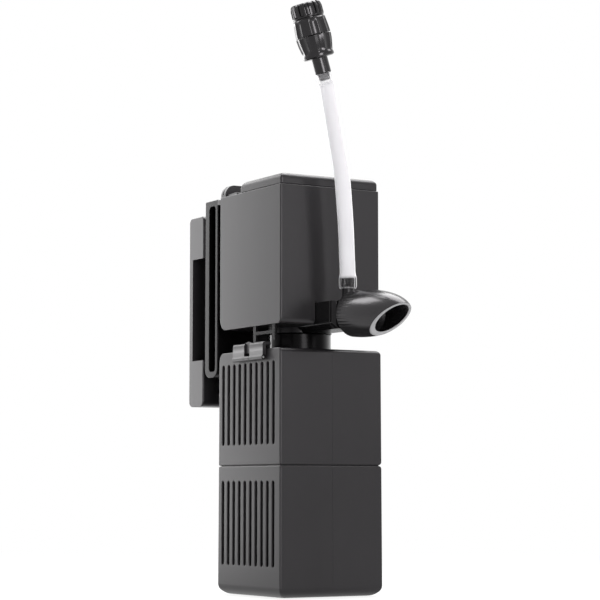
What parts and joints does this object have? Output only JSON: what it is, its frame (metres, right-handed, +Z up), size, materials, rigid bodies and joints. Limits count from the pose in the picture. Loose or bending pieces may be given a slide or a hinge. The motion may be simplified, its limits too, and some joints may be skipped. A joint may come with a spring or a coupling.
{
  "type": "internal aquarium filter",
  "caption": "Submersible aquarium filter with a boxed pump head, slotted media modules, swivelling egg-shaped nozzle, air hose with a valve, a side clip and a sliding glass holder.",
  "frame": {"origin": "centre of the lower module's underside, on the surface that the filter stands on", "axes": "+Z up; the outlet duct looks along -Y and the glass holder's cups along +Y; +X is to the right for someone who faces the outlet side along +Y"},
  "size_m": [0.072, 0.1821, 0.3399],
  "materials": {
    "black_shell": "satin moulded black",
    "black_trim": "semi-gloss moulded black",
    "inner_plastic": "matt dark grey",
    "dark_foam": "open-cell foam",
    "lamination_steel": "rolled sheet",
    "winding": "enamelled wire under tape",
    "ferrite": "ground",
    "ceramic": "ground",
    "black_rubber": "matt",
    "clear_silicone": "clear, smooth",
    "cup_rubber": "smooth"
  },
  "bodies": {
    "filter_body": {"head_housing": "black_shell", "core_cover": "black_trim", "cable_gland": "black_trim", "intake_neck": "black_trim", "neck_seal": "black_rubber", "pump_chamber": "black_trim", "motor_can": "inner_plastic", "stator_core": "lamination_steel", "stator_coil": "winding", "rotor_shaft": "ceramic", "shaft_bush_lower": "black_rubber", "shaft_bush_upper": "black_rubber", "outlet_ball": "black_trim", "air_hose": "clear_silicone", "valve_body": "black_trim", "slide_rail": "black_trim", "upper_module": "black_shell", "media_grate": "inner_plastic", "upper_sponge": "dark_foam", "latch_pin_left": "lamination_steel"},
    "lower_tray": {"lower_module": "black_shell", "lower_sponge": "dark_foam"},
    "lid": {"head_lid": "black_shell"},
    "rotor": {"impeller": "inner_plastic", "rotor_magnet": "ferrite"},
    "nozzle_joint": {"ball_seat": "inner_plastic"},
    "nozzle_shell": {"nozzle": "black_shell"},
    "air_valve": {"valve_knob": "black_trim"},
    "clip_left": {"latch_left": "black_shell"},
    "glass_holder": {"holder_frame": "black_shell", "suction_cup_1": "cup_rubber", "suction_cup_2": "cup_rubber", "suction_cup_3": "cup_rubber", "suction_cup_4": "cup_rubber"}
  },
  "joints": [
    {"name": "lower_module_slide", "type": "slide", "parent": "filter_body", "child": "lower_tray", "axis": [0, 0, 1], "range_m": [-0.03, 0]},
    {"name": "lid_lift", "type": "slide", "parent": "filter_body", "child": "lid", "axis": [0, 0, 1], "range_m": [0, 0.02]},
    {"name": "impeller_spin", "type": "hinge", "parent": "filter_body", "child": "rotor", "pos_m": [0, 0, 0.1703], "axis": [0, 0, 1], "continuous": true},
    {"name": "nozzle_pan", "type": "hinge", "parent": "filter_body", "child": "nozzle_joint", "pos_m": [0.0008, -0.0645, 0.1603], "axis": [0, 0, 1], "range_deg": [-21, 5]},
    {"name": "nozzle_roll", "type": "hinge", "parent": "nozzle_joint", "child": "nozzle_shell", "pos_m": [0.0008, -0.0645, 0.1603], "axis": [0.1391, -0.9899, -0.0262], "continuous": true},
    {"name": "air_valve_turn", "type": "hinge", "parent": "filter_body", "child": "air_valve", "pos_m": [-0.01497, -0.054, 0.2941], "axis": [-0.2999, 0, 0.954], "range_deg": [-150, 150]},
    {"name": "latch_left_turn", "type": "hinge", "parent": "filter_body", "child": "clip_left", "pos_m": [-0.0358, 0, 0.1371], "axis": [0, -1, 0], "range_deg": [0, 50]},
    {"name": "holder_slide", "type": "slide", "parent": "filter_body", "child": "glass_holder", "axis": [0, 0, 1], "range_m": [-0.025, 0.04]}
  ]
}
